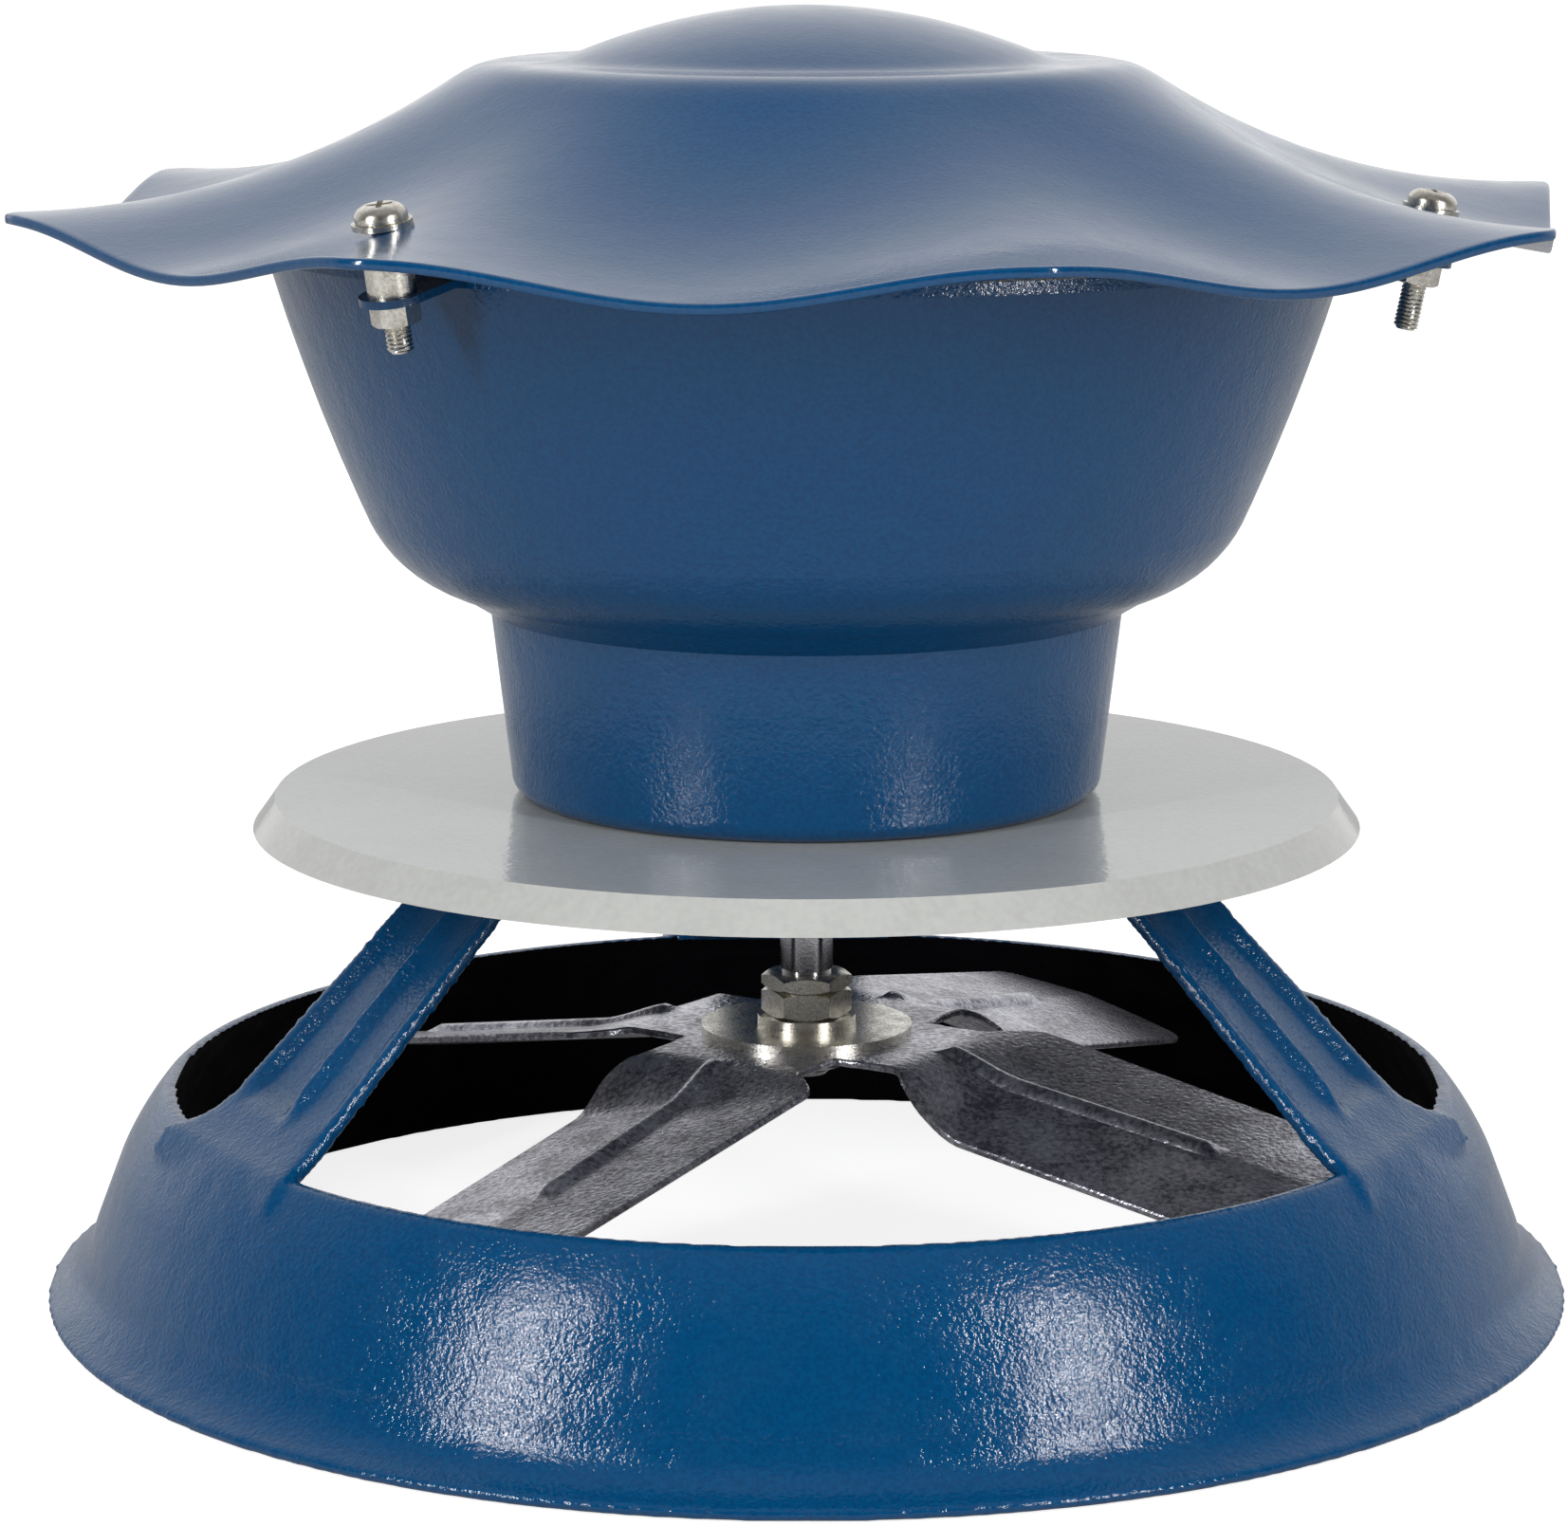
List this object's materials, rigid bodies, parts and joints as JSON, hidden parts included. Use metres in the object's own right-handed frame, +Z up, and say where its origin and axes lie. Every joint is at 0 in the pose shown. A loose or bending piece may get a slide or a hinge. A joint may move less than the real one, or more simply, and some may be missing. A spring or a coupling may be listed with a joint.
{
  "type": "chimney fan",
  "caption": "Chimney top exhaust fan: flared base ring with three arms, bladed fan on a motor shaft, heat shield disc, bowl-shaped motor housing and scalloped rain cap.",
  "frame": {"origin": "centre of the base flange underside, at the bottom of the part", "axes": "+Z up along the shaft; -Y is the side seen in the picture; +X to the right"},
  "size_m": [0.31, 0.31, 0.2594],
  "materials": {
    "blue_enamel": "textured gloss enamel",
    "shield_grey": "semi-gloss pale grey coat",
    "black_rubber": "matt moulded rubber",
    "plated_steel": "zinc plated",
    "cast_aluminium": "as cast",
    "lamination_steel": "stacked laminations, varnished",
    "winding_copper": "varnished copper windings",
    "bearing_steel": "ground steel",
    "raw_sheet_steel": "dark rolled sheet steel"
  },
  "bodies": {
    "housing": {"base_frame": "blue_enamel", "heat_shield": "shield_grey", "motor_housing": "blue_enamel", "cable_grommet": "black_rubber", "rain_cap": "blue_enamel", "cap_screws": "plated_steel", "cap_washers": "plated_steel", "cap_sleeves": "plated_steel", "cap_nuts": "plated_steel", "lower_end_bell": "cast_aluminium", "upper_end_bell": "cast_aluminium", "stator_core": "lamination_steel", "lower_winding": "winding_copper", "upper_winding": "winding_copper", "motor_tie_bolts": "plated_steel", "motor_mount_bolts": "plated_steel", "lower_bearing_outer_race": "bearing_steel", "upper_bearing_outer_race": "bearing_steel"},
    "fan": {"lower_bearing_inner_race": "bearing_steel", "upper_bearing_inner_race": "bearing_steel", "rotor_core": "lamination_steel", "motor_shaft": "bearing_steel", "fan_blades": "raw_sheet_steel", "hub_disc": "raw_sheet_steel", "hub_washer": "plated_steel", "hub_nut": "plated_steel", "hub_lock_nut": "plated_steel", "hub_lower_nut": "plated_steel"}
  },
  "joints": [
    {"name": "fan_spin", "type": "hinge", "parent": "housing", "child": "fan", "pos_m": [0, 0, 0.052], "axis": [0, 0, 1], "continuous": true}
  ]
}
